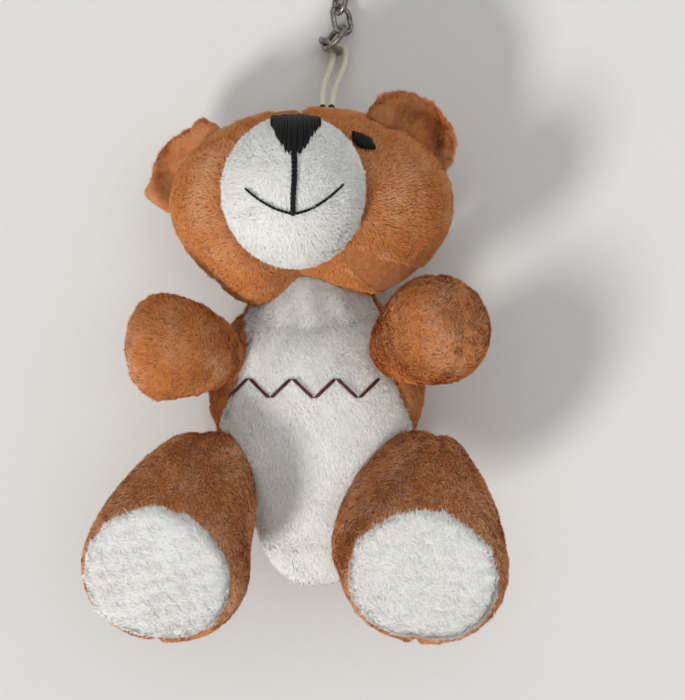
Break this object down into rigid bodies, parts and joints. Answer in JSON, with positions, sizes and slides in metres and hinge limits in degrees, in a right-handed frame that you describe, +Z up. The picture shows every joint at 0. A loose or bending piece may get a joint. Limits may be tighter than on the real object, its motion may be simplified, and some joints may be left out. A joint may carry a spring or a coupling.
{
  "type": "plush keychain",
  "caption": "Small jointed plush bear lying on its back, with a sewn-in cord loop, a short link chain and a split ring for keys.",
  "frame": {"origin": "middle of the flat patch of the back that the bear rests on", "axes": "+Z up out of the belly, +Y from the feet to the head and on to the key ring, +X to the bear's own left"},
  "size_m": [0.0758, 0.1568, 0.0504],
  "materials": {
    "brown_plush": "short caramel-brown pile",
    "white_plush": "short white pile with a slight sparkle",
    "stuffing": "polyester fibre",
    "black_thread": "satin-stitched thread",
    "maroon_thread": "stitched thread",
    "seam_thread": "gathering thread and turned-in pile",
    "cream_cord": "waxed cream cord",
    "aged_nickel": "aged nickel plate, worn on the high spots"
  },
  "bodies": {
    "torso": {"torso_stuffing": "stuffing", "belly_panel": "white_plush", "back_left_panel": "brown_plush", "back_right_panel": "brown_plush", "chest_stitching": "maroon_thread"},
    "neck": {"neck_collar": "seam_thread"},
    "head": {"head_stuffing": "stuffing", "head_left_panel": "brown_plush", "head_right_panel": "brown_plush", "muzzle_panel": "white_plush", "muzzle_stuffing": "stuffing", "nose_embroidery": "black_thread", "mouth_embroidery": "black_thread", "eye_left": "black_thread", "eye_right": "black_thread", "ear_left_front": "brown_plush", "ear_left_back": "brown_plush", "ear_right_front": "brown_plush", "ear_right_back": "brown_plush"},
    "arm_left": {"arm_left_front_panel": "brown_plush", "arm_left_back_panel": "brown_plush", "arm_left_stuffing": "stuffing"},
    "arm_right": {"arm_right_front_panel": "brown_plush", "arm_right_back_panel": "brown_plush", "arm_right_stuffing": "stuffing"},
    "leg_left": {"leg_left_outer_panel": "brown_plush", "leg_left_inner_panel": "brown_plush", "leg_left_sole": "white_plush", "leg_left_stuffing": "stuffing"},
    "leg_right": {"leg_right_outer_panel": "brown_plush", "leg_right_inner_panel": "brown_plush", "leg_right_sole": "white_plush", "leg_right_stuffing": "stuffing"},
    "cord": {"cord_loop": "cream_cord"},
    "jump_ring": {"jump_ring": "aged_nickel"},
    "link_1": {"chain_link_1": "aged_nickel"},
    "link_2": {"chain_link_2": "aged_nickel"},
    "link_3": {"chain_link_3": "aged_nickel"},
    "link_4": {"chain_link_4": "aged_nickel"},
    "link_5": {"chain_link_5": "aged_nickel"},
    "split_ring": {"split_ring": "aged_nickel"}
  },
  "joints": [
    {"name": "neck_turn", "type": "hinge", "parent": "torso", "child": "neck", "pos_m": [-0.0005, 0.0236, 0.0185], "axis": [0, 1, 0], "range_deg": [-20, 20]},
    {"name": "neck_nod", "type": "hinge", "parent": "neck", "child": "head", "pos_m": [-0.0005, 0.0236, 0.0185], "axis": [1, 0, 0], "range_deg": [-8, 8]},
    {"name": "arm_left_raise", "type": "hinge", "parent": "torso", "child": "arm_left", "pos_m": [0.0177, 0.01665, 0.02775], "axis": [-0.8566, 0, 0.516], "range_deg": [-10, 8]},
    {"name": "arm_right_raise", "type": "hinge", "parent": "torso", "child": "arm_right", "pos_m": [-0.02014, 0.0156, 0.02784], "axis": [0, 0, 1], "range_deg": [-10, 10]},
    {"name": "leg_left_swing", "type": "hinge", "parent": "torso", "child": "leg_left", "pos_m": [0.02229, -0.00497, 0.02493], "axis": [1, 0, 0], "range_deg": [-10, 6]},
    {"name": "leg_right_swing", "type": "hinge", "parent": "torso", "child": "leg_right", "pos_m": [-0.02303, -0.00494, 0.02397], "axis": [1, 0, 0], "range_deg": [-10, 6]},
    {"name": "cord_swing", "type": "hinge", "parent": "head", "child": "cord", "pos_m": [0.00205, 0.0612, 0.017], "axis": [1, 0, 0], "range_deg": [-12, 30]},
    {"name": "jump_ring_turn", "type": "hinge", "parent": "cord", "child": "jump_ring", "pos_m": [0.0044, 0.075, 0.0028], "axis": [0, 0, 1], "range_deg": [-40, 20]},
    {"name": "link_1_swing", "type": "hinge", "parent": "jump_ring", "child": "link_1", "pos_m": [0.00255, 0.07628, 0.00505], "axis": [0.8211, -0.5708, 0], "range_deg": [-30, 30]},
    {"name": "link_2_swing", "type": "hinge", "parent": "link_1", "child": "link_2", "pos_m": [0.00505, 0.07989, 0.00385], "axis": [0.5417, -0.0967, 0.835], "range_deg": [-30, 30]},
    {"name": "link_3_swing", "type": "hinge", "parent": "link_2", "child": "link_3", "pos_m": [0.00441, 0.08431, 0.00294], "axis": [-0.8394, -0.0091, 0.5435], "range_deg": [-30, 30]},
    {"name": "link_4_swing", "type": "hinge", "parent": "link_3", "child": "link_4", "pos_m": [0.00487, 0.08882, 0.00257], "axis": [-0.5434, -0.0131, -0.8394], "range_deg": [-30, 30]},
    {"name": "link_5_swing", "type": "hinge", "parent": "link_4", "child": "link_5", "pos_m": [0.00606, 0.09321, 0.00257], "axis": [0.8201, -0.2221, -0.5274], "range_deg": [-30, 30]},
    {"name": "split_ring_swing", "type": "hinge", "parent": "link_5", "child": "split_ring", "pos_m": [0.00697, 0.09767, 0.00257], "axis": [0.5175, -0.1056, 0.8491], "range_deg": [-6, 12]}
  ]
}
